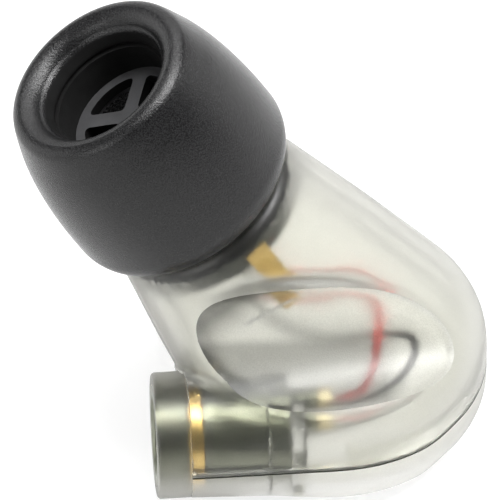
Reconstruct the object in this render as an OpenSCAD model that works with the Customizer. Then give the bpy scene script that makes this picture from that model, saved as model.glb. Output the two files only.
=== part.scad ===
// One earpiece of a pair of in-ear monitors: a two-shell translucent housing with a tilted
// nozzle, a dynamic driver behind it, a coaxial cable socket in a barrel along one edge, and
// a foam ear tip that pulls off the nozzle.
// Millimetres, +Z up. The origin is the centre of the round body on the flat rest face.
// The socket opens along -X. The nozzle leans from +Z towards -X.

/* [Housing] */
// Plan radius of the round end of the body
body_r = 8.15; // [7.9:0.05:8.4]
// Plan radius of the corner under the nozzle
corner_r = 3.5; // [3.2:0.1:3.8]
// Rounding of the edge round the flat rest face
foot_round = 2.3; // [2.0:0.1:2.4]
// Rounding of the shoulder over the round end
shoulder_round = 3.5; // [3.2:0.1:3.8]
// Wall of the ear-side shell
wall = 0.8; // [0.7:0.05:0.85]
// Gap between the two shells along the parting line
seam_gap = 0.1; // [0.06:0.02:0.2]

/* [Nozzle and ear tip] */
// Lean of the nozzle from the vertical
nozzle_tilt = 30; // [28:1:31]
// Outer radius of the housing at the foot of the nozzle
neck_r = 5.1; // [5.05:0.05:5.2]
// Length of the nozzle stem in front of the housing
stem_len = 6.25; // [6.0:0.05:6.5]
// Outer radius of the nozzle stem
stem_r = 2.95; // [2.9:0.05:3.0]
// Largest radius of the foam tip
tip_r = 6.25; // [6.0:0.05:6.5]
// Length of the foam tip
tip_len = 10; // [9.5:0.1:10.4]

/* [Cable socket] */
// Outer radius of the barrel and of its end collar
barrel_r = 3.25; // [3.2:0.05:3.3]
// Length of the end collar
collar_len = 1.75; // [1.7:0.05:1.9]
// Bore radius of the socket, where the plug goes in
socket_r = 1.95; // [1.9:0.05:2.0]
// Outer radius of the socket sleeve
sleeve_r = 2.65; // [2.5:0.05:2.65]

/* [Driver] */
// Outer radius of the driver's rim
driver_r = 4.6; // [4.4:0.05:4.6]
// Radius of the pole plate inside the voice coil
pole_r = 1.9; // [1.8:0.05:1.95]
// Thickness of the two wires
wire_d = 0.45; // [0.35:0.05:0.5]

/* [Hidden] */

part_z = barrel_r;                    // the shells part in the plane of the barrel's axis
barrel_y = -5.1;
seam_x = -7.65;                       // end wall of the housing, where the collar sits
corner_at = [-5.3, 4.9];
neck_at = [-6.72, 1.65, 13.8];        // centre of the housing's front wall, on the nozzle axis
front_wall = 0.9;
cover_wall = 1.2;
lip_gap = 0.06;
lip_height = 0.95;                    // how far the cover's tongue stands into the other shell
peg_at = [-2, -6.35, 0.93];
peg_r = 0.35;
fit_gap = 0.03;                       // glued and sliding joints
big = 40;                             // larger than the whole earpiece

// Levels along the nozzle, from the housing's front wall
foam_base = 0.2;
tip_front = foam_base + tip_len;
ring_round = 0.72;                    // rounding of the outer side of the foam's front ring
ring_r = tip_r - 1.83;
ring_z = tip_front - ring_round;
widest_z = 2.75;
base_round = 1.9;
core_r = 3.65;
core_front = tip_front - 1.7;
lip_r = 3.45;                         // edge of the opening in the foam
lip_z = tip_front - 0.77;
rib_r = stem_r + 0.15;                // the rib that holds the ear tip
stem_bore = 2.3;
screen_seat = 0.3;                    // depth of the screen's seat in the end of the stem
grille_thick = 0.55;
bar_width = 0.8;
driver_front = -1.35;
film_z = -1.78;                       // the driver's films at rest
film_r = 4.3;
dome_r = 2.3;
coil_r = 2.22;
plate_z = -2.4;
plate_thick = 0.45;
glue = 0.02;                          // thin joints inside the driver and the socket
yoke_r = 2.95;
yoke_back = -4.15;
yoke_floor = -3.72;

// Levels along the socket, from the housing's end wall
chamber_r = socket_r - 0.25;
ring_from = -0.67;                    // the contact ring let into the sleeve
ring_to = 0.12;
sleeve_back = -4.04;
flange_r = sleeve_r + 0.15;
flange_back = -5.14;
block_back = -6.6;
cup_back = -7.36;
block_at = [1.1, 0.15, 0];            // the rear block sits above the barrel's axis

// Points of an arc about [x, y] from angle a0 to a1.
function arc(x, y, r, a0, a1, steps) =
    [for (i = [0:steps]) let (a = a0 + (a1 - a0) * i / steps) [x + r * cos(a), y + r * sin(a)]];

// Local +Z runs along the nozzle, outwards, from the housing's front wall.
module at_neck() {
    translate(neck_at) rotate([0, -nozzle_tilt, 0]) children();
}

// Local +Z runs along the barrel, outwards, from the housing's end wall.
module at_socket() {
    translate([seam_x, barrel_y, part_z]) rotate([0, -90, 0]) children();
}

// A plain tube or ring from z0 to z1.
module ring(outer, inner, z0, z1, fn = 64) {
    translate([0, 0, z0]) difference() {
        cylinder(r = outer, h = z1 - z0, $fn = fn);
        translate([0, 0, -1]) cylinder(r = inner, h = z1 - z0 + 2, $fn = fn);
    }
}

module disc(r, z0, z1, fn = 64) {
    translate([0, 0, z0]) cylinder(r = r, h = z1 - z0, $fn = fn);
}

// ---- Housing -----------------------------------------------------------------------------

// Half section of a slab with a rounded lower and upper edge.
module slab_section(r, low, high, low_round, high_round) {
    polygon(concat(
        [[0, low]],
        arc(r - low_round, low + low_round, low_round, -90, 0, 4),
        arc(r - high_round, high - high_round, high_round, 0, 90, 4),
        [[0, high]]
    ));
}

// The body without its barrel, shrunk by inset all over.
module main_body(inset) {
    hull() {
        at_neck() translate([0, 0, -inset]) {
            translate([0, 0, -0.9]) cylinder(r = neck_r + 0.1 - inset, h = 0.3, $fn = 40);
            translate([0, 0, -0.3]) cylinder(r = neck_r - 0.4 - inset, h = 0.3, $fn = 40);
        }
        rotate([0, 0, -127]) rotate_extrude(angle = 217, $fn = 44)
            slab_section(body_r - inset, inset, part_z + 1 + shoulder_round - inset,
                         foot_round - inset, shoulder_round - inset);
        translate(corner_at) rotate_extrude($fn = 28)
            slab_section(corner_r - inset, inset, part_z + 2.5 - inset,
                         foot_round - inset, 2 - inset);
    }
}

// The barrel, run out into the front of the body.
module barrel_body(inset) {
    hull() {
        translate([seam_x + inset, barrel_y, part_z]) rotate([0, 90, 0])
            cylinder(r = barrel_r - inset, h = 5, $fn = 40);
        rotate([0, 0, -108]) rotate_extrude(angle = 48, $fn = 44)
            slab_section(body_r - inset, inset, part_z + 1 + shoulder_round - inset,
                         foot_round - inset, shoulder_round - inset);
    }
}

module body(inset) {
    main_body(inset);
    barrel_body(inset);
}

// The finger-side scoop in the ear-side shell, grown by extra.
module scoop(extra) {
    hull() {
        translate([-13, -9.5, 11.35]) sphere(r = 4.25 + extra, $fn = 32);
        translate([5.7, -5, 9.3]) sphere(r = 2.95 + extra, $fn = 32);
    }
}

module below(z) {
    translate([-big / 2, -big / 2, z - big]) cube(big);
}

// Everything in the two shells that the collar and the socket take up.
module socket_hole() {
    at_socket() {
        disc(barrel_r + 0.1, 0, 6);
        disc(sleeve_r + fit_gap, sleeve_back - glue, 1);
        disc(flange_r + fit_gap, flange_back - glue, sleeve_back);
    }
}

module ear_side_shell() {
    color([0.80, 0.81, 0.76, 0.5]) difference() {
        body(0);
        below(part_z + seam_gap / 2);
        difference() {
            body(wall);
            scoop(wall);
            at_neck() disc(20, -front_wall, 5);
            // the web behind the socket's flange
            translate([seam_x + 5.25, barrel_y - 4, part_z]) cube([0.6, 2.9, 3.5]);
        }
        at_neck() disc(driver_r + 0.25, -5, -front_wall);
        at_neck() disc(stem_r + fit_gap, -4, 5);
        scoop(0);
        socket_hole();
    }
}

// The cover's tongue stands inside the ear-side shell, clear of the barrel.
module tongue() {
    difference() {
        intersection() {
            body(wall + lip_gap);
            below(part_z + lip_height);
        }
        translate([-big + 0.3, -big - 1.2, part_z - seam_gap]) cube(big);
    }
}

module outer_cover() {
    color([0.80, 0.81, 0.76, 0.5]) difference() {
        union() {
            intersection() {
                body(0);
                below(part_z - seam_gap / 2);
            }
            tongue();
        }
        body(cover_wall);
        translate(peg_at - [0, 0, fit_gap]) cylinder(r = peg_r + fit_gap, h = 3, $fn = 32);
        socket_hole();
    }
}

// ---- Nozzle ------------------------------------------------------------------------------

module nozzle() {
    color([0.42, 0.43, 0.44]) at_neck() rotate_extrude($fn = 96)
        polygon([
            [stem_bore, -1.15], [4.15, -1.15], [4.15, -0.93], [stem_r, -0.93],
            [stem_r, stem_len - 1.2], [rib_r, stem_len - 0.9],
            [rib_r, stem_len - 0.4], [stem_r, stem_len - 0.1], [stem_r, stem_len],
            [stem_r - 0.3, stem_len], [stem_r - 0.3, stem_len - screen_seat],
            [stem_bore, stem_len - screen_seat]
        ]);
}

module nozzle_grille() {
    z0 = stem_len + glue;
    window_r = rib_r - 0.53;
    color([0.45, 0.46, 0.47]) at_neck() {
        ring(rib_r, window_r, z0, z0 + grille_thick, 96);
        intersection() {
            for (a = [69, 159]) rotate([0, 0, a])
                translate([-big / 2, -bar_width / 2, z0]) cube([big, bar_width, grille_thick]);
            disc(window_r + 0.1, z0 - 1, z0 + 1, 96);
        }
    }
}

module nozzle_mesh() {
    color([0.07, 0.07, 0.08]) at_neck() difference() {
        disc(stem_r - 0.32, stem_len - 0.28, stem_len - 0.16, 96);
        for (x = [-3:3], y = [-3:3])
            if (norm([x + y / 2, y * 0.866]) < 3.2)
                translate([0.62 * (x + y / 2), 0.537 * y, stem_len - 1])
                    cylinder(r = 0.2, h = 2, $fn = 16);
    }
}

// ---- Ear tip -----------------------------------------------------------------------------

// Outer side of the foam, from its front ring back to the widest place.
function tip_side(steps) =
    [for (i = [0:steps])
        let (rise = (ring_z - 0.3 - widest_z) * (1 - i / steps), k = rise / 7.65)
        [tip_r - 2.15 * (1 - sqrt(1 - k * k)), widest_z + rise]];

// A curve from a to c that bends towards b.
function bend(a, b, c, steps) =
    [for (i = [0:steps]) let (t = i / steps)
        (1 - t) * (1 - t) * a + 2 * t * (1 - t) * b + t * t * c];

module ear_tip_foam() {
    color([0.17, 0.17, 0.18]) at_neck() rotate_extrude($fn = 96)
        polygon(concat(
            [[core_r + fit_gap, core_front + fit_gap]],
            [[rib_r + 0.1, core_front + fit_gap]],
            bend([lip_r, lip_z], [lip_r + 0.55, tip_front - 0.13], [ring_r, tip_front], 6),
            arc(ring_r, ring_z, ring_round, 80, 20, 6),
            tip_side(9),
            arc(tip_r - base_round, foam_base + base_round, base_round, 0, -90, 8),
            [[core_r + fit_gap, foam_base]]
        ));
}

module ear_tip_core() {
    color([0.12, 0.12, 0.13]) at_neck()
        ring(core_r, rib_r + fit_gap, 0.05, core_front, 96);
}

// ---- Driver ------------------------------------------------------------------------------

module driver_gasket() {
    color([0.1, 0.1, 0.1]) at_neck() ring(film_r, 3.4, driver_front + 0.03, -1.17, 96);
}

module driver_cover() {
    color([0.72, 0.73, 0.72]) at_neck() difference() {
        disc(4.35, driver_front - 0.15, driver_front + 0.01, 96);
        disc(0.5, -2, 0, 32);
        for (a = [0:60:300]) rotate([0, 0, a]) translate([1.7, 0, -2])
            cylinder(r = 0.45, h = 2, $fn = 32);
    }
}

module driver_frame() {
    color([0.13, 0.14, 0.12]) at_neck() difference() {
        rotate_extrude($fn = 96) polygon([
            [4.38, driver_front], [driver_r, driver_front], [driver_r, -2.2], [3.6, -2.5],
            [3.6, -2.9], [yoke_r + 0.03, -2.9], [yoke_r + 0.03, -2.35], [3.3, -2.2],
            [3.9, -2.05], [4.0, film_z - glue], [4.38, film_z - glue]
        ]);
        for (a = [0:60:300]) rotate([0, 0, a + 30]) translate([3.8, 0, -2.8])
            cylinder(r = 0.3, h = 1.2, $fn = 24);
    }
}

// Height of the surround's roll, and of the dome, at a radius.
function roll(x) = film_z + 0.14 * (1 - pow((x - 3.35) / 0.65, 2));
function dome(x) = film_z - 0.22 + 0.16 * (1 - pow(x / dome_r, 2));

module driver_surround() {
    color([0.75, 0.72, 0.62]) at_neck() rotate_extrude($fn = 96)
        polygon(concat(
            [[film_r, film_z], [film_r, film_z + 0.08]],
            [for (i = [0:8]) let (x = 4 - 1.3 * i / 8) [x, roll(x) + 0.08]],
            [for (i = [0:8]) let (x = 2.7 + 1.3 * i / 8) [x, roll(x)]]
        ));
}

module driver_diaphragm() {
    color([0.62, 0.55, 0.40]) at_neck() rotate_extrude($fn = 96)
        polygon(concat(
            [[2.66, film_z - 0.06], [2.66, film_z]],
            [for (i = [0:8]) let (x = dome_r * (1 - i / 8)) [x, dome(x) + 0.06]],
            [for (i = [0:8]) let (x = dome_r * i / 8) [x, dome(x)]]
        ));
}

module voice_coil() {
    color([0.72, 0.42, 0.22]) at_neck() ring(coil_r, coil_r - 0.22, -3.0, film_z - 0.22, 96);
}

module driver_pole_plate() {
    color([0.70, 0.71, 0.72]) at_neck() disc(pole_r, plate_z - plate_thick, plate_z, 96);
}

module driver_magnet() {
    color([0.55, 0.56, 0.57]) at_neck()
        disc(pole_r - 0.05, yoke_floor + glue, plate_z - plate_thick - glue, 96);
}

module driver_yoke() {
    color([0.66, 0.67, 0.66]) at_neck() rotate_extrude($fn = 96) polygon([
        [0, yoke_back], [yoke_r - 0.25, yoke_back], [yoke_r, yoke_back + 0.25],
        [yoke_r, -2.5], [yoke_r - 0.6, -2.5], [yoke_r - 0.6, yoke_floor], [0, yoke_floor]
    ]);
}

module driver_terminal_board() {
    color([0.16, 0.32, 0.20]) at_neck() translate([0.2, -0.9, yoke_back - 0.3]) rotate([0, 0, -25])
        translate([-0.7, -1.3, 0]) cube([1.4, 2.6, 0.27]);
}

// A flat strip on the driver's rim that leans in behind it.
module contact_strip() {
    color([0.85, 0.65, 0.22]) at_neck() rotate([0, 0, -61]) rotate([90, 0, 0])
        translate([0, 0, -0.6]) linear_extrude(height = 1.2)
            polygon([[driver_r + 0.03, -1.4], [driver_r + 0.17, -1.4], [driver_r + 0.17, -4.02],
                     [4.2, -5.9], [4.05, -5.85], [driver_r + 0.03, -3.98]]);
}

// ---- Cable socket --------------------------------------------------------------------------

module socket_collar() {
    color([0.74, 0.76, 0.70, 0.6]) at_socket() rotate_extrude($fn = 96)
        polygon(concat(
            [[sleeve_r + fit_gap, fit_gap]],
            [[barrel_r, fit_gap]],
            arc(barrel_r - 0.2, collar_len - 0.2, 0.2, 0, 90, 5),
            [[sleeve_r + fit_gap, collar_len]]
        ));
}

module socket_sleeve() {
    // the plug's bore stops at the end wall, and a narrower chamber runs on behind it
    color([0.10, 0.11, 0.09]) at_socket() rotate_extrude($fn = 96) polygon([
        [socket_r, 0], [socket_r, collar_len - 0.15], [socket_r + 0.15, collar_len],
        [sleeve_r - 0.1, collar_len], [sleeve_r, collar_len - 0.1],
        [sleeve_r, ring_to + glue], [sleeve_r - 0.3, ring_to + glue],
        [sleeve_r - 0.3, ring_from - glue], [sleeve_r, ring_from - glue],
        [sleeve_r, sleeve_back], [chamber_r, sleeve_back], [chamber_r, 0]
    ]);
}

module socket_contact_ring() {
    color([0.86, 0.68, 0.28]) at_socket() ring(sleeve_r, sleeve_r - 0.27, ring_from, ring_to, 96);
}

module socket_insulator() {
    color([0.85, 0.84, 0.78]) at_socket() ring(chamber_r - glue, 0.45, -4.0, -2.3, 96);
}

module socket_centre_contact() {
    color([0.86, 0.68, 0.28]) at_socket() {
        disc(0.43, -4.0, -0.4, 48);
        disc(0.3, -0.5, -0.15, 48);
    }
}

module socket_flange() {
    color([0.24, 0.25, 0.22]) at_socket() disc(flange_r, flange_back, sleeve_back - glue, 96);
}

module socket_rear_block() {
    color([0.22, 0.23, 0.21]) at_socket() translate(block_at)
        disc(1.05, block_back, flange_back - glue, 64);
}

module solder_cup() {
    color([0.95, 0.84, 0.55]) at_socket() translate(block_at)
        disc(0.95, cup_back, block_back - glue, 64);
}

// ---- Wiring --------------------------------------------------------------------------------

red_path = [[-0.2, -4.9, 4.4], [0.7, -4.7, 4.5], [1.5, -4.3, 4.8], [2.1, -2.9, 5.5],
            [2.3, -1.7, 5.8], [2.5, -0.3, 6.1], [2.4, 0.6, 6.8], [2.0, 0.9, 7.6],
            [1.3, 1.0, 8.1], [0.5, 1.0, 8.0], [-0.3, 0.9, 7.6], [-1.4, 1.1, 7.5],
            [-2.6, 1.3, 8.5], [-3.9, 1.3, 9.6]];
black_path = [[-2.3, -5.0, 2.7], [-1.5, -5.0, 2.8], [0.3, -4.9, 3.2], [1.5, -4.7, 3.9],
              [2.8, -4.2, 4.5], [3.8, -3.4, 5.3], [4.2, -2.6, 5.8], [4.0, -1.8, 6.1],
              [3.1, -1.1, 5.7], [1.7, 0, 4.6], [-0.1, 0.7, 3.9], [-2.0, 0.7, 5.0],
              [-3.4, 0.2, 7.3], [-4.1, -0.1, 9.3]];

function unit(v) = v / norm(v);

// A smooth curve through the points of a path, with steps pieces between neighbours.
function smooth_path(path, steps) = let (n = len(path) - 1) concat(
    [for (i = [0:n - 1], s = [0:steps - 1])
        let (a = path[max(i - 1, 0)], b = path[i], c = path[i + 1], d = path[min(i + 2, n)],
             t = s / steps)
        b + t * (c - a) / 2 + t * t * (a - 2.5 * b + 2 * c - d / 2)
            + t * t * t * (1.5 * (b - c) + (d - a) / 2)],
    [path[n]]
);

// One ring of a tube round a point, square to the tangent t.
function tube_ring(point, t, r, sides) =
    let (u = unit(cross(t, [0.3, -0.2, -0.93])), v = cross(t, u))
    [for (k = [0:sides - 1]) point + r * (cos(360 * k / sides) * u + sin(360 * k / sides) * v)];

// A round wire along a path.
module wire(path, r, sides = 10) {
    n = len(path);
    polyhedron(
        points = [for (i = [0:n - 1])
            let (t = unit(path[min(i + 1, n - 1)] - path[max(i - 1, 0)]))
            each tube_ring(path[i], t, r, sides)],
        faces = concat(
            [[for (k = [0:sides - 1]) k]],
            [[for (k = [0:sides - 1]) n * sides - 1 - k]],
            [for (i = [0:n - 2], k = [0:sides - 1])
                let (a = i * sides + k, b = i * sides + (k + 1) % sides)
                each [[a, a + sides, b], [b, a + sides, b + sides]]]
        )
    );
}

module red_wire() {
    color([0.78, 0.20, 0.17]) wire(smooth_path(red_path, 2), wire_d / 2);
}

module black_wire() {
    color([0.15, 0.17, 0.17]) wire(smooth_path(black_path, 2), wire_d / 2);
}

joint_r = 0.38;

module solder_joints() {
    color([0.78, 0.78, 0.76]) {
        for (path = [red_path, black_path], p = [path[0], path[len(path) - 1]])
            translate(p) sphere(r = joint_r, $fn = 32);
    }
}

module locating_peg() {
    color([0.93, 0.93, 0.90]) translate(peg_at) cylinder(r = peg_r, h = 1.75, $fn = 32);
}

ear_side_shell();
outer_cover();
socket_collar();
nozzle();
nozzle_grille();
nozzle_mesh();
ear_tip_foam();
ear_tip_core();
driver_gasket();
driver_cover();
driver_frame();
driver_surround();
driver_diaphragm();
voice_coil();
driver_pole_plate();
driver_magnet();
driver_yoke();
driver_terminal_board();
contact_strip();
socket_sleeve();
socket_contact_ring();
socket_insulator();
socket_centre_contact();
socket_flange();
socket_rear_block();
solder_cup();
red_wire();
black_wire();
solder_joints();
locating_peg();
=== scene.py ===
import math

import bmesh
import bpy
import numpy as np
from mathutils import Matrix, Vector


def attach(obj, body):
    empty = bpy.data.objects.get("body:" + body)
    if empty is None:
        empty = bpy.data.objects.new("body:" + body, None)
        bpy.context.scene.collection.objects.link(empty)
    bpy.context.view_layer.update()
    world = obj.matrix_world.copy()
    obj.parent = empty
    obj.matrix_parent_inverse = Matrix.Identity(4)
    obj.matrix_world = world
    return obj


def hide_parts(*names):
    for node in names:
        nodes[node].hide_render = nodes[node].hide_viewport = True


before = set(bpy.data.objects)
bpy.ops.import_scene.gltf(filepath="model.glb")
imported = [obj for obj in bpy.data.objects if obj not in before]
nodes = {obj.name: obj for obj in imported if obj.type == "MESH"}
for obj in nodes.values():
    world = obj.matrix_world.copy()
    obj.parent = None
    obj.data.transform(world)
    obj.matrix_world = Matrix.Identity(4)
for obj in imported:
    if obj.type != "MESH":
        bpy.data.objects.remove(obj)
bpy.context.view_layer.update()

MM = 0.001

# ---- Sizes and places in millimetres, as the CAD source has them ------------------------------

NOZZLE_TILT = math.radians(30)
NECK_AXIS = np.array([-math.sin(NOZZLE_TILT), 0, math.cos(NOZZLE_TILT)])
NECK_AT = np.array([-6.72, 1.65, 13.8])
NECK_R = 5.1
BODY_R = 8.15
CORNER_AT = (-5.3, 4.9)
CORNER_R = 3.5
FOOT_ROUND = 2.3
SHOULDER_ROUND = 3.5
BARREL_R = 3.25
BARREL_Y = -5.1
SEAM_X = -7.65
PART_Z = 3.25
SEAM_GAP = 0.1
FIT_GAP = 0.03
GLUE = 0.02
WALL = 0.8
COVER_WALL = 1.2
FRONT_WALL = 0.9
LIP_GAP = 0.06
LIP_HEIGHT = 0.95
TONGUE_X = 0.3
DRIVER_R = 4.6
STEM_R = 2.95
STEM_LEN = 6.25
SLEEVE_R = 2.65
SOCKET_R = 1.95
COLLAR_LEN = 1.75
RIB_R = STEM_R + 0.15
TIP_R = 6.25
SIDE_BULGE = 2.15
SIDE_SPAN = 7.65
FOAM_BASE = 0.2
TIP_FRONT = FOAM_BASE + 10
RING_ROUND = 0.72
RING_R = TIP_R - 1.83
RING_Z = TIP_FRONT - RING_ROUND
WIDEST_Z = 2.75
BASE_ROUND = 1.9
CORE_R = 3.65
CORE_FRONT = TIP_FRONT - 1.7
LIP_R = 3.45
LIP_Z = TIP_FRONT - 0.77
CHAMBER_R = SOCKET_R - 0.25
RING_FROM = -0.67
RING_TO = 0.12
SLEEVE_BACK = -4.05
FLANGE_R = SLEEVE_R + 0.15
FLANGE_BACK = -5.14
BLOCK_R = 1.05
BLOCK_BACK = -6.6
BLOCK_AT = (1.1, 0.15, 0)
CUP_R = 0.95
CUP_BACK = -7.36
WEB_AT = np.array([SEAM_X + 5.55, BARREL_Y - 2.55, PART_Z + 1.75])
WEB_HALF = np.array([0.3, 1.45, 1.75])
WIRE_R = 0.225
PEG_AT = (-2.0, -6.35)
PEG_R = 0.35
SCOOP_BIG = (np.array([-13.0, -9.5, 11.35]), 4.25)
SCOOP_SMALL = (np.array([5.7, -5.0, 9.3]), 2.95)

AT_NECK = Matrix.Translation(Vector(NECK_AT)) @ Matrix.Rotation(-NOZZLE_TILT, 4, "Y")
AT_SOCKET = (Matrix.Translation((SEAM_X, BARREL_Y, PART_Z))
             @ Matrix.Rotation(math.radians(-90), 4, "Y"))

# ---- Finishes ---------------------------------------------------------------------------------


def shader_nodes(name):
    """A new material with its node tree, its Principled node and its texture coordinates."""
    made = bpy.data.materials.new(name)
    made.use_nodes = True
    tree = made.node_tree
    principled = tree.nodes["Principled BSDF"]
    place = tree.nodes.new("ShaderNodeTexCoord").outputs["Object"]
    return made, tree, principled, place


def noise(tree, place, size, detail=2.0):
    """Noise whose features are about size millimetres across."""
    texture = tree.nodes.new("ShaderNodeTexNoise")
    texture.inputs["Scale"].default_value = 1 / (size * MM)
    texture.inputs["Detail"].default_value = detail
    tree.links.new(place, texture.inputs["Vector"])
    return texture.outputs["Fac"]


def between(tree, factor, low, high, spread=0.25):
    """Turns noise into a value that runs from low to high."""
    to = tree.nodes.new("ShaderNodeMapRange")
    to.inputs["From Min"].default_value = 0.5 - spread
    to.inputs["From Max"].default_value = 0.5 + spread
    to.inputs["To Min"].default_value = low
    to.inputs["To Max"].default_value = high
    tree.links.new(factor, to.inputs["Value"])
    return to.outputs["Result"]


def mixed_colour(tree, factor, low, high):
    """A colour between two, by a factor."""
    mix = tree.nodes.new("ShaderNodeMix")
    mix.data_type = "RGBA"
    tree.links.new(factor, mix.inputs["Factor"])
    mix.inputs["A"].default_value = (*low, 1)
    mix.inputs["B"].default_value = (*high, 1)
    return mix.outputs["Result"]


def lifted(tree, principled, height, distance):
    """Bump from a height, with its depth in millimetres."""
    bump = tree.nodes.new("ShaderNodeBump")
    bump.inputs["Distance"].default_value = distance * MM
    bump.inputs["Strength"].default_value = 1.0
    tree.links.new(height, bump.inputs["Height"])
    tree.links.new(bump.outputs["Normal"], principled.inputs["Normal"])


def finish(name, dark, light, rough, patch=0.8, grain=0.06, depth=0.004, **constants):
    """A finish that varies: patches move the colour and the roughness, a fine grain lifts it."""
    made, tree, principled, place = shader_nodes(name)
    patches = noise(tree, place, patch, 3.0)
    grains = noise(tree, place, grain)
    colour = mixed_colour(tree, between(tree, patches, 0, 1), dark, light)
    tree.links.new(colour, principled.inputs["Base Color"])
    tree.links.new(between(tree, grains, *rough), principled.inputs["Roughness"])
    lifted(tree, principled, grains, depth)
    for socket, value in constants.items():
        principled.inputs[socket.replace("_", " ")].default_value = value
    return made


def frosted(name, rough, colour, depth, fleck=0.0):
    """Clear plastic with a fine matt texture. Returns its parts, so that it can be shaded."""
    made, tree, principled, place = shader_nodes(name)
    grains = noise(tree, place, 0.07)
    dim = tuple(c * 0.95 for c in colour)
    shade = mixed_colour(tree, between(tree, noise(tree, place, 1.5), 0, 1), dim, colour)
    if fleck:
        shade = scaled(tree, shade, between(tree, grains, 1 - fleck, 1))
    tree.links.new(shade, principled.inputs["Base Color"])
    tree.links.new(between(tree, grains, *rough), principled.inputs["Roughness"])
    lifted(tree, principled, grains, depth)
    principled.inputs["Transmission Weight"].default_value = 1.0
    principled.inputs["IOR"].default_value = 1.45
    return made, tree, principled, place, shade


def scaled(tree, colour, factor):
    """A colour times a factor."""
    times = tree.nodes.new("ShaderNodeVectorMath")
    times.operation = "SCALE"
    tree.links.new(colour, times.inputs[0])
    tree.links.new(factor, times.inputs["Scale"])
    return times.outputs["Vector"]


def ramp_along(tree, place, direction, start, end, low, high):
    """A value that runs from low to high along a direction, between two distances in mm."""
    dot = tree.nodes.new("ShaderNodeVectorMath")
    dot.operation = "DOT_PRODUCT"
    dot.inputs[1].default_value = direction
    tree.links.new(place, dot.inputs[0])
    to = tree.nodes.new("ShaderNodeMapRange")
    to.interpolation_type = "SMOOTHSTEP"
    to.inputs["From Min"].default_value = start * MM
    to.inputs["From Max"].default_value = end * MM
    to.inputs["To Min"].default_value = low
    to.inputs["To Max"].default_value = high
    tree.links.new(dot.outputs["Value"], to.inputs["Value"])
    return to.outputs["Result"]


def combined(tree, how, a, b):
    """Two values put together by one sum, such as MULTIPLY."""
    sum_node = tree.nodes.new("ShaderNodeMath")
    sum_node.operation = how
    tree.links.new(a, sum_node.inputs[0])
    tree.links.new(b, sum_node.inputs[1])
    return sum_node.outputs["Value"]


def scoop_painted_shade_finish():
    """Frosted plastic for the scoop, with painted shade: its colour is darker over its lower half
    and at its upper inner corner, and lighter towards its right end.
    """
    made, tree, principled, place, shade = frosted(
        "frosted_scoop_painted_shade", (0.34, 0.48), (0.92, 0.915, 0.86), 0.012, 0.28)
    # Painted shade: these ramps darken the colour over the scoop's lower half and upper inner
    # corner and keep it light at its right end.
    lower_half_shade = ramp_along(tree, place, (0.17, 0, 1), 7.65, 8.3, 0.38, 1)
    right_end_lit = ramp_along(tree, place, (1, 0, 0), 1.3, 4.0, 0, 1)
    upper_corner_shade = ramp_along(tree, place, (0.75, 0, -1), -15.4, -12.6, 0.12, 1)
    painted_shade_tone = combined(tree, "MAXIMUM", lower_half_shade, right_end_lit)
    painted_shade_tone = combined(tree, "MULTIPLY", painted_shade_tone, upper_corner_shade)
    tree.links.new(scaled(tree, shade, painted_shade_tone), principled.inputs["Base Color"])
    return made


def foam_finish():
    """Dark foam with a fine grain."""
    made, tree, principled, place = shader_nodes("foam_charcoal")
    grains = noise(tree, place, 0.075)
    patches = noise(tree, place, 2.5)
    colour = mixed_colour(tree, between(tree, grains, 0, 1), (0.001, 0.001, 0.0011),
                          (0.018, 0.018, 0.0185))
    tree.links.new(colour, principled.inputs["Base Color"])
    tree.links.new(between(tree, patches, 0.22, 0.28), principled.inputs["Roughness"])
    lifted(tree, principled, grains, 0.025)
    principled.inputs["Specular IOR Level"].default_value = 0.31
    return made


GOLD = finish("gold", (0.78, 0.52, 0.16), (0.95, 0.68, 0.26), (0.22, 0.34), Metallic=1.0)
STEEL = finish("driver_steel", (0.42, 0.43, 0.42), (0.6, 0.6, 0.58), (0.3, 0.45), Metallic=1.0)
DARK_METAL = finish("dark_metal", (0.165, 0.172, 0.13), (0.24, 0.25, 0.2), (0.28, 0.36),
                    Metallic=1.0)
DARK_PLASTIC = finish("dark_plastic", (0.018, 0.02, 0.015), (0.035, 0.038, 0.03), (0.4, 0.55))
FRAME = finish("driver_frame", (0.04, 0.044, 0.03), (0.065, 0.07, 0.05), (0.45, 0.6))
COPPER = finish("coil_copper", (0.45, 0.16, 0.06), (0.66, 0.27, 0.12), (0.3, 0.45), Metallic=1.0)
NICKEL = finish("magnet_nickel", (0.45, 0.45, 0.44), (0.62, 0.62, 0.6), (0.2, 0.3), Metallic=1.0)
FILM = finish("film", (0.46, 0.42, 0.3), (0.56, 0.52, 0.4), (0.3, 0.42))
BOARD = finish("board_green", (0.012, 0.06, 0.022), (0.02, 0.09, 0.035), (0.35, 0.5))
WHITE = finish("plastic_white", (0.72, 0.72, 0.68), (0.82, 0.82, 0.78), (0.35, 0.5))
CREAM = finish("cup_pale_gold", (0.98, 0.82, 0.50), (1.0, 0.90, 0.62), (0.3, 0.4), Metallic=1.0)
RED = finish("wire_red", (0.7, 0.03, 0.025), (0.85, 0.045, 0.035), (0.35, 0.5))
BLACK = finish("wire_black", (0.012, 0.014, 0.014), (0.03, 0.034, 0.034), (0.35, 0.5))
SOLDER = finish("solder_grey", (0.5, 0.5, 0.5), (0.68, 0.68, 0.67), (0.25, 0.4), Metallic=1.0)
NOZZLE_GREY = finish("nozzle_grey", (0.03, 0.03, 0.031), (0.045, 0.045, 0.047), (0.5, 0.6),
                     Specular_IOR_Level=0.3)
MESH_BLACK = finish("mesh_black", (0.002, 0.002, 0.002), (0.004, 0.004, 0.004), (0.6, 0.7),
                    Specular_IOR_Level=0.1)
CORE = finish("core_black", (0.004, 0.004, 0.004), (0.007, 0.007, 0.007), (0.6, 0.7),
              Specular_IOR_Level=0.12)
FROST_OUT = frosted("frosted_outside", (0.34, 0.46), (0.84, 0.835, 0.775), 0.008, 0.12)[0]
FROST_IN = frosted("frosted_inside", (0.16, 0.24), (0.90, 0.9, 0.85), 0.002)[0]
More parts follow.
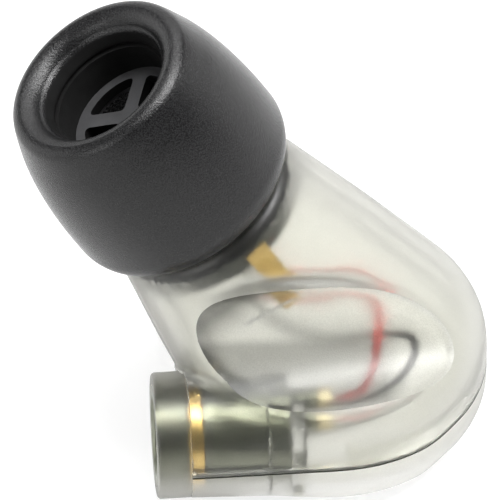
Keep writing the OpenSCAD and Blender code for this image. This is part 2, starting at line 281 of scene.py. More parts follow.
# The scoop's frosted finish carries painted shade in its colour.
FROST_SCOOP_PAINTED_SHADE = scoop_painted_shade_finish()
SEAM_EDGE = finish("seam_edge", (0.10, 0.105, 0.09), (0.16, 0.165, 0.14), (0.4, 0.5))
FOAM = foam_finish()

# ---- Shape tools ------------------------------------------------------------------------------


def new_piece(name, vertices, faces, body, slot_name, *materials, place=None):
    """A mesh piece from points in millimetres, riding on a body."""
    mesh = bpy.data.meshes.new(name)
    mesh.from_pydata([tuple(v) for v in vertices], [], [tuple(f) for f in faces])
    if place is not None:
        mesh.transform(place)
    mesh.transform(Matrix.Scale(MM, 4))
    for one in materials:
        mesh.materials.append(one)
    piece = bpy.data.objects.new(name, mesh)
    bpy.context.scene.collection.objects.link(piece)
    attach(piece, body)
    return piece


def smooth(piece, degrees=35):
    """Smooth shading, with the edges sharper than the angle kept crisp."""
    piece.data.shade_smooth()
    piece.data.set_sharp_from_angle(angle=math.radians(degrees))


def arc(x, y, radius, start, end, steps=8):
    """Points of an arc about (x, y), with its angles in degrees."""
    turns = np.radians(np.linspace(start, end, steps + 1))
    return [(x + radius * math.cos(a), y + radius * math.sin(a)) for a in turns]


EASE_STEPS = 3


def eased(outline, radius):
    """A closed outline with its corners rounded."""
    made = []
    count = len(outline)
    for i in range(count):
        before, here, after = (np.array(outline[(i + k) % count], float) for k in (-1, 0, 1))
        to_before, to_after = before - here, after - here
        reach = min(radius, 0.4 * np.linalg.norm(to_before), 0.4 * np.linalg.norm(to_after))
        a = here + to_before / np.linalg.norm(to_before) * reach
        b = here + to_after / np.linalg.norm(to_after) * reach
        for t in np.linspace(0, 1, EASE_STEPS + 1):
            made.append(tuple((1 - t) ** 2 * a + 2 * t * (1 - t) * here + t * t * b))
    return made


def revolved(outline, around=128):
    """Vertices and faces of a closed (radius, height) outline turned about Z."""
    outline = np.array(outline)
    turns = np.arange(around) * math.tau / around
    ring = [[(r * math.cos(a), r * math.sin(a), z) for r, z in outline] for a in turns]
    count = len(outline)
    faces = []
    for i in range(around):
        for k in range(count):
            n = (k + 1) % count
            j = (i + 1) % around
            faces.append((i * count + k, j * count + k, j * count + n, i * count + n))
    return np.array(ring).reshape(-1, 3), faces


def turned_piece(name, outline, place, slot_name, *materials, body="housing", ease=0.04,
                 around=128, stands_for=()):
    """A turned piece, with its sharp edges eased."""
    points, faces = revolved(eased(outline, ease) if ease else outline, around)
    piece = new_piece(name, points, faces, body, slot_name, *materials, place=place)
    smooth(piece)
    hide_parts(*stands_for)
    return piece


# ---- Smooth housing: a solid given by its distance field ---------------------------------------


def spread_directions(count):
    """Evenly spread unit vectors, with the level ones and the nozzle's own added."""
    i = np.arange(count) + 0.5
    z = 1 - 2 * i / count
    turn = i * math.pi * (3 - math.sqrt(5))
    flat = np.sqrt(1 - z * z)
    spread = np.stack([flat * np.cos(turn), flat * np.sin(turn), z], 1)
    a = np.arange(360) * math.tau / 360
    level = np.stack([np.cos(a), np.sin(a), 0 * a], 1)
    return np.concatenate([spread, level, [[0, 0, 1], [0, 0, -1]], [NECK_AXIS, -NECK_AXIS]])


def slab_reach(n, radius, low, high, low_round, high_round, centre=(0, 0), stretch=None):
    """How far a level disc with rounded edges reaches along each direction.
    stretch keeps only the arc of its rim between two angles in degrees."""
    flat = np.hypot(n[:, 0], n[:, 1])
    if stretch:
        middle = math.radians(sum(stretch) / 2)
        half = math.radians((stretch[1] - stretch[0]) / 2)
        off = (np.arctan2(n[:, 1], n[:, 0]) - middle + math.pi) % math.tau - math.pi
        flat = flat * np.where(np.abs(off) <= half, 1, np.cos(np.abs(off) - half))
    rise = n[:, 2]
    lower = (radius - low_round) * flat + (low + low_round) * rise + low_round
    upper = (radius - high_round) * flat + (high - high_round) * rise + high_round
    return n[:, 0] * centre[0] + n[:, 1] * centre[1] + np.maximum(lower, upper)


def disc_reach(n, centre, axis, radius, rounding):
    """How far a disc with a rounded edge, square to an axis, reaches along each direction."""
    across = np.sqrt(np.maximum(1 - (n @ axis) ** 2, 0))
    return n @ centre + (radius - rounding) * across + rounding


class ConvexField:
    """The distance to a convex body given by its reach, read through a smooth coarse grid."""

    def __init__(self, n, reach, low, high, step=0.35):
        self.low = np.array(low, float) - 2 * step
        self.step = step
        self.size = np.ceil((np.array(high) - self.low) / step).astype(int) + 3
        at = np.stack(np.meshgrid(*[np.arange(s) for s in self.size], indexing="ij"), -1)
        points = (self.low + at.reshape(-1, 3) * step).astype(np.float32)
        n32, reach32 = n.astype(np.float32).T.copy(), reach.astype(np.float32)
        values = [(points[i:i + 4096] @ n32 - reach32).max(1) for i in range(0, len(points), 4096)]
        self.values = np.concatenate(values).astype(np.float64)

    def __call__(self, points):
        u = (points - self.low) / self.step
        u = np.clip(u, 1.001, self.size - 2.001)
        i = np.floor(u).astype(np.int64)
        t = u - i
        weights = [(1 - t) ** 3 / 6, (3 * t ** 3 - 6 * t ** 2 + 4) / 6,
                   (-3 * t ** 3 + 3 * t ** 2 + 3 * t + 1) / 6, t ** 3 / 6]
        _, sy, sz = self.size
        base = ((i[:, 0] - 1) * sy + i[:, 1] - 1) * sz + i[:, 2] - 1
        total = np.zeros(len(points))
        for a in range(4):
            for b in range(4):
                wab = weights[a][:, 0] * weights[b][:, 1]
                for c in range(4):
                    here = self.values[base + (a * sy + b) * sz + c]
                    total += wab * weights[c][:, 2] * here
        return total


def smooth_min(a, b, width):
    """The smaller of two fields, blended where they are closer than width."""
    h = np.clip(0.5 + 0.5 * (b - a) / width, 0, 1)
    return b + (a - b) * h - width * h * (1 - h)


def smooth_max(a, b, width):
    """The larger of two fields, blended where they are closer than width."""
    return -smooth_min(-a, -b, width)


def two_ball_field(points, big, small):
    """The distance to the hull of two balls."""
    (a, ra), (b, rb) = big, small
    ba = b - a
    length2 = ba @ ba
    dr = ra - rb
    slope2 = length2 - dr * dr
    pa = points - a
    y = pa @ ba
    z = y - length2
    side = ((pa * length2 - np.outer(y, ba)) ** 2).sum(1)
    k = np.sign(dr) * dr * dr * side
    past_b = np.sign(z) * slope2 * z * z * length2 > k
    past_a = np.sign(y) * slope2 * y * y * length2 < k
    between_them = (np.sqrt(side * slope2 / length2) + y * dr) / length2 - ra
    at_b = np.sqrt(side + z * z * length2) / length2 - rb
    at_a = np.sqrt(side + y * y * length2) / length2 - ra
    return np.where(past_b, at_b, np.where(past_a, at_a, between_them))


def drum_field(points, place, radius, low, high):
    """The distance-like field of a cylinder about a place's own Z axis."""
    back = np.array(place.inverted())
    local = points @ back[:3, :3].T + back[:3, 3]
    out = np.hypot(local[:, 0], local[:, 1]) - radius
    return np.maximum(out, np.maximum(low - local[:, 2], local[:, 2] - high))


def slopes(parts, points, gap=0.01):
    """The gradients of several fields at once, as (field, point, axis)."""
    steps = np.eye(3) * gap
    return np.stack([(parts(points + s) - parts(points - s)) / (2 * gap) for s in steps], -1)


def net_of(parts, low, high, step):
    """A closed quad mesh round the solid where every field in parts is below zero.
    Each vertex is moved onto the surface, and onto the edge where two fields meet."""
    low, high = np.array(low, float), np.array(high, float)
    coarse = 4
    cells = np.ceil((high - low) / (step * coarse)).astype(int) * coarse
    size = cells + 1
    marks = [np.arange(0, s, coarse) for s in size]
    at = np.stack(np.meshgrid(*marks, indexing="ij"), -1)
    rough = parts(low + at.reshape(-1, 3) * step).max(0).reshape(at.shape[:3])
    near = np.abs(rough) < step * coarse * 1.3
    corners = [(a, b, c) for a in (0, 1) for b in (0, 1) for c in (0, 1)]
    blocks = np.array(rough.shape) - 1
    busy = np.zeros(blocks, bool)
    for a, b, c in corners:
        busy |= near[a:a + blocks[0], b:b + blocks[1], c:c + blocks[2]]
    values = np.full(size, 1.0)
    fill = np.sign(rough[:-1, :-1, :-1])
    for axis in range(3):
        fill = np.repeat(fill, coarse, axis)
    values[:-1, :-1, :-1] = fill
    wanted = np.zeros(size, bool)
    for x, y, z in np.argwhere(busy) * coarse:
        wanted[x:x + coarse + 1, y:y + coarse + 1, z:z + coarse + 1] = True
    index = np.argwhere(wanted)
    found = [parts(low + some * step).max(0) for some in np.array_split(index, 12)]
    values[tuple(index.T)] = np.concatenate(found)
    inside = values < 0
    count = np.zeros(cells, np.int8)
    for a, b, c in corners:
        count += inside[a:a + cells[0], b:b + cells[1], c:c + cells[2]]
    cell = np.argwhere((count > 0) & (count < 8))
    number = np.full(cells, -1)
    number[tuple(cell.T)] = np.arange(len(cell))
    total, hits = np.zeros((len(cell), 3)), np.zeros(len(cell))
    for a in corners:
        for axis in range(3):
            if a[axis] == 0:
                b = np.array(a)
                b[axis] = 1
                va, vb = values[tuple((cell + a).T)], values[tuple((cell + b).T)]
                cross = (va < 0) != (vb < 0)
                point = np.tile(np.array(a, float), (len(cell), 1))
                point[:, axis] += va / np.where(cross, va - vb, 1)
                total[cross] += point[cross]
                hits[cross] += 1
    vertices = low + (cell + total / hits[:, None]) * step
    vertices = on_surface(parts, vertices, low + cell * step, step)
    faces = []
    for axis in range(3):
        u, v = (axis + 1) % 3, (axis + 2) % 3
        first = np.take(inside, range(cells[axis]), axis)
        second = np.take(inside, range(1, size[axis]), axis)
        edge = np.argwhere(first != second)
        edge = edge[(edge[:, u] > 0) & (edge[:, v] > 0) & (edge[:, u] < cells[u])
                    & (edge[:, v] < cells[v])]
        du, dv = np.eye(3, dtype=int)[u], np.eye(3, dtype=int)[v]
        quad = np.stack([number[tuple((edge - a * du - b * dv).T)]
                         for a, b in ((0, 0), (1, 0), (1, 1), (0, 1))], 1)
        outward = inside[tuple(edge.T)]
        quad[~outward] = quad[~outward][:, ::-1]
        faces.append(quad)
    return vertices, np.concatenate(faces)


def on_surface(parts, vertices, cell_low, step):
    """Moves vertices onto the surface, and onto its edges and corners where a cell holds one."""
    settled = vertices.copy()
    for _ in range(3):
        value = parts(settled)
        top = value.argmax(0)
        every = np.arange(len(settled))
        slope = slopes(parts, settled)[top, every]
        length2 = np.maximum((slope ** 2).sum(1), 0.1)
        settled -= (value[top, every] / length2)[:, None] * slope
    value = parts(vertices)
    order = np.argsort(-value, axis=0)
    for count in (2, 3):
        if len(value) < count:
            break
        every = np.arange(len(vertices))
        active = order[:count]
        near = value[order[0], every] - value[order[count - 1], every] < step
        some = np.flatnonzero(near)
        if not len(some):
            continue
        point = vertices[some].copy()
        which = active[:, some]
        picked = np.arange(len(some))
        for _ in range(5):
            f = parts(point)[which, picked].T
            g = np.swapaxes(slopes(parts, point)[which, picked], 0, 1)
            point -= np.einsum("nij,nj->ni", np.linalg.pinv(g, rcond=0.05), f)
            point = np.clip(point, cell_low[some] - step, cell_low[some] + 2 * step)
        margin = 0.12 * step
        good = ((point > cell_low[some] - margin) & (point < cell_low[some] + step + margin)).all(1)
        good &= np.abs(parts(point).max(0)) < 0.05 * step
        settled[some[good]] = point[good]
    return settled


def along_neck(points):
    """How far points are along the nozzle's axis from the housing's front wall."""
    return (points - NECK_AT) @ NECK_AXIS


DIRECTIONS = spread_directions(9000)
SHELL_LOW, SHELL_HIGH = (-12.6, -9.2, -0.8), (9.0, 9.2, 17.2)
body_reach = np.maximum.reduce([
    slab_reach(DIRECTIONS, BODY_R, 0, PART_Z + 1 + SHOULDER_ROUND, FOOT_ROUND, SHOULDER_ROUND,
               stretch=(-127, 90)),
    slab_reach(DIRECTIONS, CORNER_R, 0, PART_Z + 2.5, FOOT_ROUND, 2, centre=CORNER_AT),
    disc_reach(DIRECTIONS, NECK_AT - 0.6 * NECK_AXIS, NECK_AXIS, NECK_R + 0.1, 0.6),
])
barrel_end = np.sqrt(np.maximum(1 - DIRECTIONS[:, 0] ** 2, 0)) * BARREL_R
barrel_end += DIRECTIONS @ np.array([0, BARREL_Y, PART_Z])
barrel_reach = np.maximum.reduce([
    barrel_end + DIRECTIONS[:, 0] * (SEAM_X - 0.6),
    barrel_end + DIRECTIONS[:, 0] * (SEAM_X + 5),
    slab_reach(DIRECTIONS, BODY_R, 0, PART_Z + 1 + SHOULDER_ROUND, FOOT_ROUND, SHOULDER_ROUND,
               stretch=(-108, -60)),
])
main_field = ConvexField(DIRECTIONS, body_reach, SHELL_LOW, SHELL_HIGH)
barrel_field = ConvexField(DIRECTIONS, barrel_reach, SHELL_LOW, SHELL_HIGH)


def skin(points):
    """The outside of the two shells together, without the scoop."""
    return smooth_min(main_field(points), barrel_field(points), 0.7)


def scoop(points):
    return two_ball_field(points, SCOOP_BIG, SCOOP_SMALL)


def socket_room(points):
    """The space that the collar and the socket take up."""
    return np.minimum.reduce([
        drum_field(points, AT_SOCKET, BARREL_R + 0.2, 0, 6),
        drum_field(points, AT_SOCKET, SLEEVE_R + FIT_GAP, SLEEVE_BACK - 0.01, 1),
        drum_field(points, AT_SOCKET, FLANGE_R + FIT_GAP, FLANGE_BACK - GLUE,
                   SLEEVE_BACK + 0.01),
    ])


def ear_side_parts(points):
    """Fields whose overlap is the ear-side shell."""
    outside = skin(points)
    hollow = scoop(points)
    # an upright web stands inside the shell, beside the socket's rear end
    web = (np.abs(points - WEB_AT) - WEB_HALF).max(1)
    inside = smooth_max(outside + WALL, WALL - hollow, 0.5)
    inside = smooth_max(inside, along_neck(points) + FRONT_WALL, 0.3)
    inside = smooth_max(inside, -web, 0.15)
    pocket = drum_field(points, AT_NECK, DRIVER_R + 0.25, -5, -FRONT_WALL)
    inside = smooth_min(inside, pocket, 0.3)
    return np.stack([
        outside,
        -hollow,
        PART_Z + SEAM_GAP / 2 - points[:, 2],
        -drum_field(points, AT_NECK, STEM_R + FIT_GAP, -4, 5),
        -socket_room(points),
        -inside,
    ])


def cover_parts(points):
    """Fields whose overlap is the outer cover with its tongue."""
    outside = skin(points)
    rise = points[:, 2] - PART_Z
    left_out = np.maximum(points[:, 0] - TONGUE_X, points[:, 1] + 1.2)
    tongue = np.maximum.reduce([outside + WALL + LIP_GAP, rise - LIP_HEIGHT, -left_out])
    return np.stack([
        outside,
        np.minimum(rise + SEAM_GAP / 2, tongue),
        -outside - COVER_WALL,
        PEG_R + FIT_GAP - np.hypot(points[:, 0] - PEG_AT[0], points[:, 1] - PEG_AT[1]),
        -socket_room(points),
    ])


OUTSIDE, INSIDE, SCOOPED, EDGE = range(4)


def shell_piece(name, parts, low, high, node):
    """A frosted shell: a matt outside, a smoother inside and dark faces along the seam."""
    points, faces = net_of(parts, low, high, 0.17)
    piece = new_piece(name, points, faces, "housing", "frosted_plastic", FROST_OUT, FROST_IN,
                      FROST_SCOOP_PAINTED_SHADE, SEAM_EDGE)
    middles = points[faces].mean(1)
    depth, hollow = skin(middles), -scoop(middles)
    on_seam = (np.abs(middles[:, 2] - PART_Z) < 0.6 * SEAM_GAP) & (depth > -0.25) & (depth < -0.01)
    tongue_end = (np.abs(middles[:, 0] - TONGUE_X) < 0.01) & (middles[:, 1] < 0) & (depth < -0.5)
    tongue_end &= np.abs(middles[:, 2] - PART_Z - LIP_HEIGHT / 2) < LIP_HEIGHT / 2
    kind = np.select([on_seam | tongue_end, (hollow > depth) & (hollow > -0.04), depth > -0.04],
                     [EDGE, SCOOPED, OUTSIDE], INSIDE)
    piece.data.polygons.foreach_set("material_index", kind.astype(np.int32))
    smooth(piece, 30)
    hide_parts(node)
    return piece


shell_piece("ear_side_shell_body", ear_side_parts, (-12.4, -9, 3.0), (8.6, 8.6, 16.8),
            "ear_side_shell")
shell_piece("outer_cover_body", cover_parts, (-9.6, -9, -0.5), (8.6, 8.6, 4.6), "outer_cover")

COLLAR_ROUND = 0.2
turned_piece("collar", [(SLEEVE_R + FIT_GAP, FIT_GAP), (BARREL_R, FIT_GAP)]
             + arc(BARREL_R - COLLAR_ROUND, COLLAR_LEN - COLLAR_ROUND, COLLAR_ROUND, 0, 90)
             + [(SLEEVE_R + FIT_GAP, COLLAR_LEN)],
             AT_SOCKET, "frosted_plastic", FROST_OUT, ease=0, stands_for=["socket_collar"])

# ---- Ear tip ----------------------------------------------------------------------------------


def tip_side(steps):
    """The foam's outer side from its front ring back to the widest place."""
    rises = np.linspace(RING_Z - 0.3 - WIDEST_Z, 0, steps + 1)
    return [(TIP_R - SIDE_BULGE * (1 - math.sqrt(1 - (r / SIDE_SPAN) ** 2)), WIDEST_Z + r)
            for r in rises]


def bend(start, towards, end, steps):
    """A curve from start to end that bends towards a point."""
    start, towards, end = np.array(start), np.array(towards), np.array(end)
    return [tuple((1 - t) ** 2 * start + 2 * t * (1 - t) * towards + t * t * end)
            for t in np.linspace(0, 1, steps + 1)]


ring_side = tip_side(48)
shoulder = arc(RING_R, RING_Z, RING_ROUND, 88, 30, 16)
foam_outline = (bend((CORE_R + FIT_GAP, CORE_FRONT + FIT_GAP), (RIB_R + 0.05, CORE_FRONT),
                     (RIB_R + 0.2, CORE_FRONT + 0.4), 6)
                + bend((LIP_R - 0.06, LIP_Z - 0.14), (LIP_R - 0.02, LIP_Z),
                       (LIP_R + 0.08, LIP_Z + 0.1), 6)
                + bend((LIP_R + 0.16, LIP_Z + 0.16), (LIP_R + 0.4, TIP_FRONT - 0.1),
                       (RING_R, TIP_FRONT), 16)
                + shoulder
                + bend(shoulder[-1], (RING_R + 0.78, RING_Z + 0.05), ring_side[4], 8)[1:]
                + ring_side[5:]
                + arc(TIP_R - BASE_ROUND, FOAM_BASE + BASE_ROUND, BASE_ROUND, 0, -90, 20)
                + [(CORE_R + FIT_GAP, FOAM_BASE)])
foam = turned_piece("foam_tip", foam_outline, AT_NECK, "foam_charcoal", FOAM, CORE,
                    body="ear_tip", ease=0, around=256, stands_for=["ear_tip_foam"])
to_local = AT_NECK.inverted()
for face in foam.data.polygons:  # the bore inside the lip shows the soft core
    spot = to_local @ (face.center / MM)
    if math.hypot(spot.x, spot.y) < LIP_R - 0.02:
        face.material_index = 1

# ---- Nozzle front ------------------------------------------------------------------------------

BAR_TURN = math.radians(69)
WINDOW_R = RIB_R - 0.53
BAR_HALF = 0.4
WINDOW_ROUND = 0.3
GRILLE_FROM = STEM_LEN + GLUE
GRILLE_TO = STEM_LEN + 0.57


def grille_parts(points):
    """Fields whose overlap is the grille: a disc with four rounded windows."""
    along, across = math.cos(BAR_TURN), math.sin(BAR_TURN)
    u = np.abs(points[:, 0] * along + points[:, 1] * across)
    v = np.abs(points[:, 1] * along - points[:, 0] * across)
    out = np.hypot(points[:, 0], points[:, 1])
    sides = np.stack([out - WINDOW_R, BAR_HALF - u, BAR_HALF - v]) + WINDOW_ROUND
    window = np.sqrt((np.maximum(sides, 0) ** 2).sum(0)) + np.minimum(sides.max(0), 0)
    return np.stack([out - RIB_R, GRILLE_FROM - points[:, 2], points[:, 2] - GRILLE_TO,
                     WINDOW_ROUND - window])


grille_points, grille_faces = net_of(grille_parts, (-3.3, -3.3, GRILLE_FROM - 0.2),
                                     (3.3, 3.3, GRILLE_TO + 0.2), 0.08)
grille = new_piece("grille_plate", grille_points, grille_faces, "housing", "nozzle_grey",
                   NOZZLE_GREY, MESH_BLACK, place=AT_NECK)
inside_windows = grille_points[grille_faces].mean(1)[:, 2] < GRILLE_TO - 0.03
grille.data.polygons.foreach_set("material_index", inside_windows.astype(np.int32))
smooth(grille, 40)
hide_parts("nozzle_grille")


def tube(path, radius, sides=12):
    """Vertices and faces of a round closed tube along a path."""
    path = np.array(path)
    tangent = np.gradient(path, axis=0)
    tangent /= np.linalg.norm(tangent, axis=1)[:, None]
    across = np.cross(tangent[0], (0.31, -0.22, -0.93))
    vertices = []
    for point, along in zip(path, tangent):
        across = across - along * (across @ along)
        across /= np.linalg.norm(across)
        other = np.cross(along, across)
        for turn in np.arange(sides) * math.tau / sides:
            vertices.append(point + radius * (math.cos(turn) * across + math.sin(turn) * other))
    count = len(path)
    faces = [(i * sides + k, (i + 1) * sides + k, (i + 1) * sides + (k + 1) % sides,
              i * sides + (k + 1) % sides)[::-1] for i in range(count - 1) for k in range(sides)]
    faces.append(tuple(range(sides))[::-1])
    faces.append(tuple((count - 1) * sides + k for k in range(sides)))
    return vertices, faces


SCREEN_R = STEM_R - 0.34
SCREEN_Z = STEM_LEN - 0.22
SCREEN_PITCH = 0.2
SCREEN_WIRE = 0.045
screen_points, screen_faces = [], []
lines = np.arange(-SCREEN_R + 0.1, SCREEN_R - 0.05, SCREEN_PITCH)
for turned in (0, 1):
    for number, line in enumerate(lines):
        half = math.sqrt(SCREEN_R ** 2 - line ** 2)
        run = np.arange(-half, half, SCREEN_PITCH / 4)
        if len(run) < 3:
            continue
        phase = math.pi * (number + turned) - math.pi * lines[0] / SCREEN_PITCH
        lift = SCREEN_WIRE * np.cos(math.pi * run / SCREEN_PITCH + phase) + SCREEN_Z
        flat = np.full_like(run, line)
        strand = np.stack([flat, run, lift] if turned else [run, flat, lift], 1)
        strand_points, strand_faces = tube(strand, SCREEN_WIRE, 6)
        base = len(screen_points)
        screen_points += strand_points
        screen_faces += [tuple(base + k for k in face) for face in strand_faces]
screen = new_piece("woven_screen", screen_points, screen_faces, "housing", "mesh_black",
                   MESH_BLACK, place=AT_NECK)
smooth(screen)
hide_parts("nozzle_mesh")

# ---- Cable socket and wires --------------------------------------------------------------------

GROOVE_R = SLEEVE_R - 0.3
turned_piece("sleeve_body", [
    (SOCKET_R, 0), (SOCKET_R, COLLAR_LEN - 0.15), (SOCKET_R + 0.15, COLLAR_LEN),
    (SLEEVE_R - 0.1, COLLAR_LEN), (SLEEVE_R, COLLAR_LEN - 0.1), (SLEEVE_R, RING_TO + GLUE),
    (GROOVE_R, RING_TO + GLUE), (GROOVE_R, RING_FROM - GLUE), (SLEEVE_R, RING_FROM - GLUE),
    (SLEEVE_R, SLEEVE_BACK), (CHAMBER_R, SLEEVE_BACK), (CHAMBER_R, 0),
], AT_SOCKET, "socket_dark", DARK_METAL, ease=0.03, stands_for=["socket_sleeve"])
turned_piece("contact_ring_body", [
    (SLEEVE_R - 0.27, RING_FROM), (SLEEVE_R - 0.27, RING_TO), (SLEEVE_R, RING_TO),
    (SLEEVE_R + 0.01, (RING_FROM + RING_TO) / 2), (SLEEVE_R, RING_FROM),
], AT_SOCKET, "contact_gold", GOLD, ease=0.04, stands_for=["socket_contact_ring"])


def turned_solid(name, outline, place, slot_name, material, node):
    """A turned piece whose outline starts and ends on the axis."""
    first, last = outline[0], outline[-1]
    corners = eased(outline, 0.06)[EASE_STEPS + 1:-EASE_STEPS - 1]
    points, faces = revolved([(0, first[1])] + corners + [(0, last[1])], 96)
    piece = new_piece(name, points, faces, "housing", slot_name, material, place=place)
    merged = bmesh.new()
    merged.from_mesh(piece.data)
    bmesh.ops.remove_doubles(merged, verts=merged.verts, dist=1e-7)
    bmesh.ops.dissolve_degenerate(merged, edges=merged.edges, dist=1e-7)
    merged.to_mesh(piece.data)
    merged.free()
    smooth(piece)
    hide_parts(node)


def disc_outline(radius, low, high):
    """Half section of a disc."""
    return [(0, low), (radius, low), (radius, high), (0, high)]


turned_solid("flange_body", disc_outline(FLANGE_R, FLANGE_BACK, SLEEVE_BACK - 0.001),
             AT_SOCKET, "socket_dark", DARK_METAL, "socket_flange")
AT_BLOCK = AT_SOCKET @ Matrix.Translation(BLOCK_AT)
turned_solid("rear_block_body", disc_outline(BLOCK_R, BLOCK_BACK, FLANGE_BACK - 0.01), AT_BLOCK,
             "socket_dark", DARK_METAL, "socket_rear_block")
turned_solid("cup_body", disc_outline(CUP_R, CUP_BACK, BLOCK_BACK - 0.01), AT_BLOCK,
             "cup_pale_gold", CREAM, "solder_cup")

RED_PATH = [(-0.2, -4.9, 4.4), (0.7, -4.7, 4.5), (1.5, -4.3, 4.8), (2.1, -2.9, 5.5),
            (2.3, -1.7, 5.8), (2.5, -0.3, 6.1), (2.4, 0.6, 6.8), (2.0, 0.9, 7.6),
            (1.3, 1.0, 8.1), (0.5, 1.0, 8.0), (-0.3, 0.9, 7.6), (-1.4, 1.1, 7.5),
            (-2.6, 1.3, 8.5), (-3.9, 1.3, 9.6)]
BLACK_PATH = [(-2.3, -5.0, 2.7), (-1.5, -5.0, 2.8), (0.3, -4.9, 3.2), (1.5, -4.7, 3.9),
              (2.8, -4.2, 4.5), (3.8, -3.4, 5.3), (4.2, -2.6, 5.8), (4.0, -1.8, 6.1),
              (3.1, -1.1, 5.7), (1.7, 0.0, 4.6), (-0.1, 0.7, 3.9), (-2.0, 0.7, 5.0),
              (-3.4, 0.2, 7.3), (-4.1, -0.1, 9.3)]


def smooth_path(path, steps=10):
    """A smooth curve through the points of a path."""
    path = np.array(path)
    ends = np.concatenate([path[:1], path, path[-1:]])
    made = []
    for a, b, c, d in zip(ends, ends[1:], ends[2:], ends[3:]):
        for t in np.arange(steps) / steps:
            made.append(b + t * (c - a) / 2 + t * t * (a - 2.5 * b + 2 * c - d / 2)
                        + t ** 3 * (1.5 * (b - c) + (d - a) / 2))
    return made + [path[-1]]


for name, path, material in (("red_wire", RED_PATH, RED), ("black_wire", BLACK_PATH, BLACK)):
    wire_points, wire_faces = tube(smooth_path(path), WIRE_R)
    wire = new_piece(name + "_tube", wire_points, wire_faces, "housing",
                     "wire_" + name.split("_")[0], material)
    smooth(wire)
    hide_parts(name)

STRIP_TURN = math.radians(-61)
STRIP_IN = DRIVER_R + FIT_GAP
STRIP_OUT = DRIVER_R + 0.17
strip_outline = eased([(STRIP_IN, -1.4), (STRIP_OUT, -1.4), (STRIP_OUT, -4.02), (4.2, -5.9),
                       (4.05, -5.85), (STRIP_IN, -3.98)], 0.08)
strip_points, strip_faces = [], []
count = len(strip_outline)
middle = np.mean(strip_outline, 0)
for offset, shrink in ((-0.6, 0.03), (-0.57, 0), (0.57, 0), (0.6, 0.03)):
    for point in np.array(strip_outline):
        x, z = point + (middle - point) / np.linalg.norm(middle - point) * shrink
        strip_points.append((x, offset, z))
for layer in range(3):
    for k in range(count):
        a, b = layer * count + k, layer * count + (k + 1) % count
        strip_faces.append((a, b, b + count, a + count))
strip_faces.append(tuple(range(count))[::-1])
strip_faces.append(tuple(3 * count + k for k in range(count)))
strip = new_piece("contact_strip_body", strip_points, strip_faces, "housing", "contact_gold",
                  GOLD, place=AT_NECK @ Matrix.Rotation(STRIP_TURN, 4, "Z"))
smooth(strip)
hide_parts("contact_strip")

# ---- CAD nodes that are shown with their own finish --------------------------------------------

FINISHES = {
    "nozzle": ("nozzle_grey", NOZZLE_GREY), "ear_tip_core": ("core_black", CORE),
    "driver_gasket": ("driver_dark", DARK_PLASTIC), "driver_cover": ("driver_steel", STEEL),
    "driver_frame": ("driver_dark", FRAME), "driver_surround": ("surround_film", FILM),
    "driver_diaphragm": ("diaphragm_film", FILM), "voice_coil": ("coil_copper", COPPER),
    "driver_pole_plate": ("driver_steel", STEEL), "driver_magnet": ("magnet_nickel", NICKEL),
    "driver_yoke": ("driver_steel", STEEL), "driver_terminal_board": ("board_green", BOARD),
    "socket_insulator": ("plastic_white", WHITE), "socket_centre_contact": ("contact_gold", GOLD),
    "solder_joints": ("solder_grey", SOLDER), "locating_peg": ("plastic_white", WHITE),
}
for node_name, (slot_name, material) in FINISHES.items():
    node = nodes[node_name]
    node.data.materials.clear()
    node.data.materials.append(material)
    smooth(node, 30)

# ---- Floor, light and camera -------------------------------------------------------------------

floor_mesh = bpy.data.meshes.new("floor")
floor_mesh.from_pydata([(-2, -2, 0), (2, -2, 0), (2, 2, 0), (-2, 2, 0)], [], [(0, 1, 2, 3)])
floor = bpy.data.objects.new("floor", floor_mesh)
bpy.context.scene.collection.objects.link(floor)
floor_finish = finish("floor_white", (0.24, 0.24, 0.24), (0.25, 0.25, 0.25), (0.6, 0.7), patch=60,
                      grain=2, depth=0)
floor_shader = floor_finish.node_tree.nodes["Principled BSDF"]
floor_shader.inputs["Emission Color"].default_value = (1, 1, 1, 1)
floor_shader.inputs["Emission Strength"].default_value = 0.8
floor_mesh.materials.append(floor_finish)


def softbox(name, place, aim, width, height, power):
    """A rectangular area light aimed at a point. Lengths in millimetres."""
    data = bpy.data.lights.new(name, "AREA")
    data.shape = "RECTANGLE"
    data.size, data.size_y = width * MM, height * MM
    data.energy = power
    lamp = bpy.data.objects.new(name, data)
    lamp.location = Vector(place) * MM
    toward = (Vector(aim) - Vector(place)).normalized()
    lamp.rotation_euler = toward.to_track_quat("-Z", "Y").to_euler()
    bpy.context.scene.collection.objects.link(lamp)


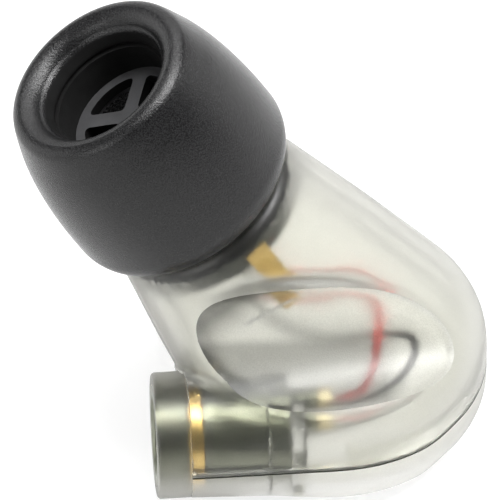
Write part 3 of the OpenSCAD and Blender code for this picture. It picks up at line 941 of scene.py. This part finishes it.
softbox("key", (-4, 60, 950), (-4, 1, 8), 440, 360, 11)
softbox("side_key", (420, -60, 880), (-4, 1, 8), 330, 300, 10)
softbox("high_back_panel", (0, 650, 720), (0, 0, 0), 900, 420, 5)
softbox("back_panel", (0, 900, 300), (0, 0, 0), 1100, 300, 0.8)
softbox("front_left_panel", (-750, -700, 500), (0, 0, 0), 500, 400, 3.5)
softbox("left_panel", (-900, 150, 220), (0, 0, 0), 700, 400, 1.6)
softbox("right_panel", (900, 250, 300), (0, 0, 0), 700, 400, 1.6)

world = bpy.data.worlds.new("studio")
bpy.context.scene.world = world
world.use_nodes = True
background = world.node_tree.nodes["Background"]
direction = world.node_tree.nodes.new("ShaderNodeTexCoord").outputs["Generated"]
split = world.node_tree.nodes.new("ShaderNodeSeparateXYZ")
ramp = world.node_tree.nodes.new("ShaderNodeValToRGB")
world.node_tree.links.new(direction, split.inputs["Vector"])
world.node_tree.links.new(split.outputs["Z"], ramp.inputs["Fac"])
world.node_tree.links.new(ramp.outputs["Color"], background.inputs["Color"])
ramp.color_ramp.elements[0].position = 0.03
ramp.color_ramp.elements[0].color = (0.95, 0.95, 0.95, 1)
ramp.color_ramp.elements[1].position = 0.16
ramp.color_ramp.elements[1].color = (0.05, 0.05, 0.05, 1)
background.inputs["Strength"].default_value = 1.0
bpy.context.scene.view_settings.view_transform = "Standard"

CAMERA_TURN = math.radians(-4.5)
CAMERA_RISE = math.radians(45)
CAMERA_AIM = Vector((-3.956, 1.306, 9.904)) * MM
CAMERA_DISTANCE = 0.9256
CAMERA_LENS = 1300
back = Vector((math.sin(CAMERA_TURN) * math.cos(CAMERA_RISE),
               -math.cos(CAMERA_TURN) * math.cos(CAMERA_RISE),
               math.sin(CAMERA_RISE)))
camera_data = bpy.data.cameras.new("camera")
camera_data.lens = CAMERA_LENS
camera_data.sensor_width = 36
camera_data.clip_start = 0.01
camera_data.clip_end = 10
camera = bpy.data.objects.new("camera", camera_data)
camera.location = CAMERA_AIM + back * CAMERA_DISTANCE
camera.rotation_euler = back.to_track_quat("Z", "Y").to_euler()
bpy.context.scene.collection.objects.link(camera)
bpy.context.scene.camera = camera
